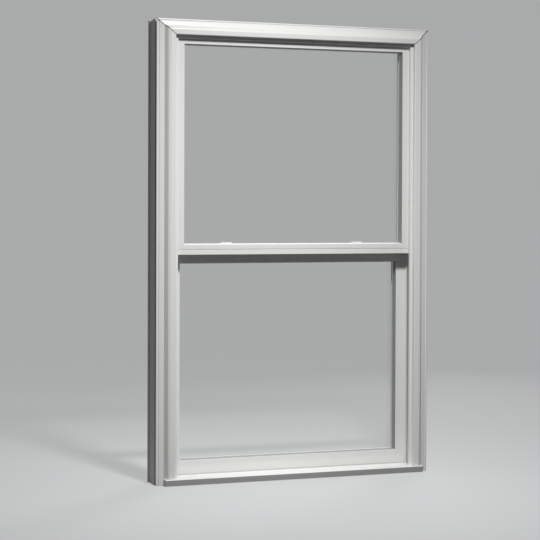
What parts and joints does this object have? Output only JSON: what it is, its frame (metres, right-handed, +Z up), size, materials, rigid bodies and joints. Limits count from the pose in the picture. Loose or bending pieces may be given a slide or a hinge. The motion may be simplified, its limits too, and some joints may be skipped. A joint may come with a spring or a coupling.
{
  "type": "double hung window",
  "caption": "White vinyl double hung window, closed: mitred moulded frame on a sloped sill, two glazed sashes in stepped tracks, sash locks, tilt latches and balance shoes.",
  "frame": {"origin": "bottom of the frame, in the middle of its width and of its whole depth", "axes": "+X to the right as seen from outside, +Y from outside to inside, +Z up"},
  "size_m": [0.813, 0.114, 1.27],
  "materials": {
    "white_vinyl": "satin extruded vinyl",
    "clear_glass": "clear float glass",
    "spacer_metal": "mill finish bar",
    "white_hardware": "white baked enamel",
    "white_nylon": "moulded nylon"
  },
  "bodies": {
    "root": {"frame_sill": "white_vinyl", "frame_head": "white_vinyl", "head_casing": "white_vinyl", "left_jamb": "white_vinyl", "right_jamb": "white_vinyl", "left_casing": "white_vinyl", "right_casing": "white_vinyl", "upper_sash_top_rail": "white_vinyl", "upper_sash_bottom_rail": "white_vinyl", "upper_sash_left_stile": "white_vinyl", "upper_sash_right_stile": "white_vinyl", "upper_sash_left_bead": "white_vinyl", "upper_sash_right_bead": "white_vinyl", "upper_sash_top_bead": "white_vinyl", "upper_sash_bottom_bead": "white_vinyl", "lower_sash_top_rail": "white_vinyl", "lower_sash_bottom_rail": "white_vinyl", "lower_sash_left_stile": "white_vinyl", "lower_sash_right_stile": "white_vinyl", "lower_sash_left_bead": "white_vinyl", "lower_sash_right_bead": "white_vinyl", "lower_sash_top_bead": "white_vinyl", "lower_sash_bottom_bead": "white_vinyl", "upper_sash_outer_pane": "clear_glass", "upper_sash_inner_pane": "clear_glass", "upper_sash_spacer": "spacer_metal", "lower_sash_outer_pane": "clear_glass", "lower_sash_inner_pane": "clear_glass", "lower_sash_spacer": "spacer_metal", "left_lock_body": "white_hardware", "left_lock_lever": "white_hardware", "left_lock_keeper": "white_hardware", "left_tilt_latch": "white_nylon", "left_upper_balance_shoe": "white_nylon", "left_lower_balance_shoe": "white_nylon", "right_lock_body": "white_hardware", "right_lock_lever": "white_hardware", "right_lock_keeper": "white_hardware", "right_tilt_latch": "white_nylon", "right_upper_balance_shoe": "white_nylon", "right_lower_balance_shoe": "white_nylon"}
  },
  "joints": []
}
